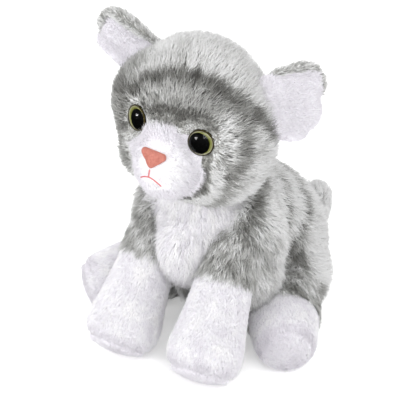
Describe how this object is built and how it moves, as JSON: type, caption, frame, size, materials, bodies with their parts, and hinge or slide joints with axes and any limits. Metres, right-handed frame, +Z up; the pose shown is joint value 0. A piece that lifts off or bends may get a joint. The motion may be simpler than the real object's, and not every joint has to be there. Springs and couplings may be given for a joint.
{
  "type": "plush cat",
  "caption": "Seated soft toy cat: stuffed torso, head, legs, ears and tail in grey and white plush, joined so that they flex.",
  "frame": {"origin": "middle of the flat seat that the cat rests on", "axes": "+Z up, the cat faces -Y, its left side is +X"},
  "size_m": [0.1295, 0.1435, 0.1594],
  "materials": {
    "grey_plush": "long brushed pile with darker stripes",
    "white_plush": "short brushed pile",
    "polyester_filling": "loose fibre",
    "pouch_cloth": "plain weave",
    "pellets": "satin",
    "eye_clear": "polished clear",
    "eye_iris": "polished",
    "eye_black": "polished",
    "washer_plastic": "satin",
    "nose_pink": "soft matte",
    "mouth_thread": "twisted thread"
  },
  "bodies": {
    "torso": {"torso_skin": "grey_plush", "chest_bib": "white_plush", "belly_panel": "grey_plush", "seat_panel": "grey_plush", "torso_stuffing": "polyester_filling", "pellet_pouch": "pouch_cloth", "pellets": "pellets"},
    "neck": {"neck_stuffing": "polyester_filling"},
    "head": {"head_gusset": "grey_plush", "left_face_panel": "grey_plush", "right_face_panel": "grey_plush", "head_stuffing": "polyester_filling", "muzzle_patch": "white_plush", "muzzle_stuffing": "polyester_filling", "nose": "nose_pink", "nose_washer": "washer_plastic", "mouth_stitching": "mouth_thread", "left_eye_lens": "eye_clear", "left_eye_iris": "eye_iris", "left_eye_pupil": "eye_black", "left_eye_shank": "eye_black", "left_eye_washer": "washer_plastic", "right_eye_lens": "eye_clear", "right_eye_iris": "eye_iris", "right_eye_pupil": "eye_black", "right_eye_shank": "eye_black", "right_eye_washer": "washer_plastic"},
    "left_ear": {"left_ear_back": "grey_plush", "left_ear_lining": "white_plush"},
    "left_foreleg": {"left_foreleg_sleeve": "grey_plush", "left_forepaw_sock": "white_plush", "left_forepaw_sole": "white_plush", "left_foreleg_stuffing": "polyester_filling"},
    "left_hindleg": {"left_thigh": "grey_plush", "left_hind_sock": "white_plush", "left_hind_sole": "white_plush", "left_hind_stuffing": "polyester_filling"},
    "right_ear": {"right_ear_back": "grey_plush", "right_ear_lining": "white_plush"},
    "right_foreleg": {"right_foreleg_sleeve": "grey_plush", "right_forepaw_sock": "white_plush", "right_forepaw_sole": "white_plush", "right_foreleg_stuffing": "polyester_filling"},
    "right_hindleg": {"right_thigh": "grey_plush", "right_hind_sock": "white_plush", "right_hind_sole": "white_plush", "right_hind_stuffing": "polyester_filling"},
    "tail": {"tail_skin": "grey_plush", "tail_stuffing": "polyester_filling"}
  },
  "joints": [
    {"name": "head_turn", "type": "hinge", "parent": "torso", "child": "neck", "pos_m": [-0.001, -0.039, 0.08], "axis": [0, 0, 1], "range_deg": [-25, 25], "stiffness_Nm_per_rad": 0.15},
    {"name": "head_nod", "type": "hinge", "parent": "neck", "child": "head", "pos_m": [-0.001, -0.039, 0.08], "axis": [0.9976, -0.0698, 0], "range_deg": [-12, 10], "stiffness_Nm_per_rad": 0.3},
    {"name": "left_foreleg_swing", "type": "hinge", "parent": "torso", "child": "left_foreleg", "pos_m": [0.02, -0.043, 0.058], "axis": [1, 0, 0], "range_deg": [-30, 8], "stiffness_Nm_per_rad": 0.4},
    {"name": "left_hindleg_swing", "type": "hinge", "parent": "torso", "child": "left_hindleg", "pos_m": [0.027, -0.01, 0.021], "axis": [1, 0, 0], "range_deg": [-20, 3], "stiffness_Nm_per_rad": 0.4},
    {"name": "right_foreleg_swing", "type": "hinge", "parent": "torso", "child": "right_foreleg", "pos_m": [-0.02, -0.043, 0.058], "axis": [1, 0, 0], "range_deg": [-30, 8], "stiffness_Nm_per_rad": 0.4},
    {"name": "right_hindleg_swing", "type": "hinge", "parent": "torso", "child": "right_hindleg", "pos_m": [-0.027, -0.01, 0.021], "axis": [1, 0, 0], "range_deg": [-20, 3], "stiffness_Nm_per_rad": 0.4},
    {"name": "left_ear_fold", "type": "hinge", "parent": "head", "child": "left_ear", "pos_m": [0.033, -0.04338, 0.13224], "axis": [0.3305, -0.2108, -0.92], "range_deg": [-12, 12], "stiffness_Nm_per_rad": 0.005},
    {"name": "right_ear_fold", "type": "hinge", "parent": "head", "child": "right_ear", "pos_m": [-0.0277, -0.03914, 0.1365], "axis": [0.481, 0.1541, 0.8631], "range_deg": [-12, 12], "stiffness_Nm_per_rad": 0.005},
    {"name": "tail_swing", "type": "hinge", "parent": "torso", "child": "tail", "pos_m": [0.005, 0.035, 0.016], "axis": [1, 0, 0], "range_deg": [-30, 0], "stiffness_Nm_per_rad": 0.02}
  ]
}
